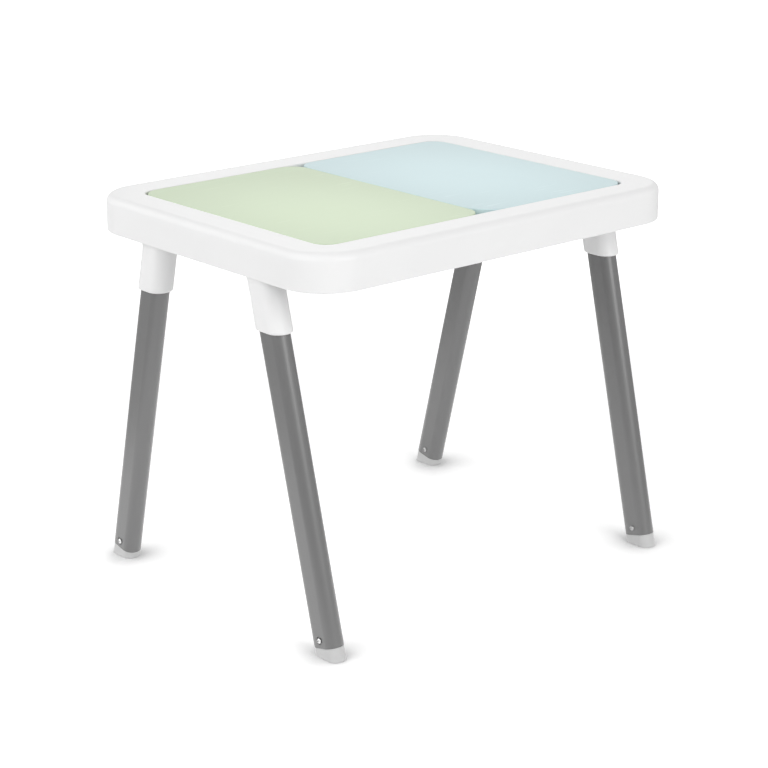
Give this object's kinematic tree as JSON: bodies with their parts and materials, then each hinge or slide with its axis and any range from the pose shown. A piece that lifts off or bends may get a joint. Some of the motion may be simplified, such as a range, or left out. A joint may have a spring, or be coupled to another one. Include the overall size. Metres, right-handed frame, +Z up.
{
  "type": "sensory table",
  "caption": "Child's sensory table: a moulded frame on four splayed oval-tube legs, with lift-out bins under flush two-colour lids.",
  "frame": {"origin": "the floor, under the middle of the table", "axes": "+X along the long side towards the blue lid, +Y towards the back, +Z up"},
  "size_m": [0.606, 0.4716, 0.5],
  "materials": {
    "white_plastic": "satin, fine texture",
    "bin_plastic": "semi-gloss",
    "green_plastic": "fine matte texture",
    "blue_plastic": "fine matte texture",
    "grey_paint": "satin powder coat",
    "foot_plastic": "satin",
    "plug_plastic": "plain",
    "screw_steel": "bright zinc"
  },
  "bodies": {
    "table": {"table_frame": "white_plastic", "leg_tube_left_front": "grey_paint", "foot_left_front": "foot_plastic", "leg_plug_left_front": "plug_plastic", "leg_screw_left_front": "screw_steel", "foot_screw_left_front_left_face": "screw_steel", "foot_screw_left_front_right_face": "screw_steel", "leg_tube_left_back": "grey_paint", "foot_left_back": "foot_plastic", "leg_plug_left_back": "plug_plastic", "leg_screw_left_back": "screw_steel", "foot_screw_left_back_left_face": "screw_steel", "foot_screw_left_back_right_face": "screw_steel", "leg_tube_right_front": "grey_paint", "foot_right_front": "foot_plastic", "leg_plug_right_front": "plug_plastic", "leg_screw_right_front": "screw_steel", "foot_screw_right_front_left_face": "screw_steel", "foot_screw_right_front_right_face": "screw_steel", "leg_tube_right_back": "grey_paint", "foot_right_back": "foot_plastic", "leg_plug_right_back": "plug_plastic", "leg_screw_right_back": "screw_steel", "foot_screw_right_back_left_face": "screw_steel", "foot_screw_right_back_right_face": "screw_steel"},
    "bin_left": {"bin_left": "bin_plastic"},
    "bin_right": {"bin_right": "bin_plastic"},
    "lid_left": {"lid_left": "green_plastic"},
    "lid_right": {"lid_right": "blue_plastic"}
  },
  "joints": [
    {"name": "bin_left_lift", "type": "slide", "parent": "table", "child": "bin_left", "axis": [0, 0, 1], "range_m": [0, 0.12]},
    {"name": "bin_right_lift", "type": "slide", "parent": "table", "child": "bin_right", "axis": [0, 0, 1], "range_m": [0, 0.12]},
    {"name": "lid_left_lift", "type": "slide", "parent": "bin_left", "child": "lid_left", "axis": [0, 0, 1], "range_m": [0, 0.12]},
    {"name": "lid_right_lift", "type": "slide", "parent": "bin_right", "child": "lid_right", "axis": [0, 0, 1], "range_m": [0, 0.12]}
  ]
}
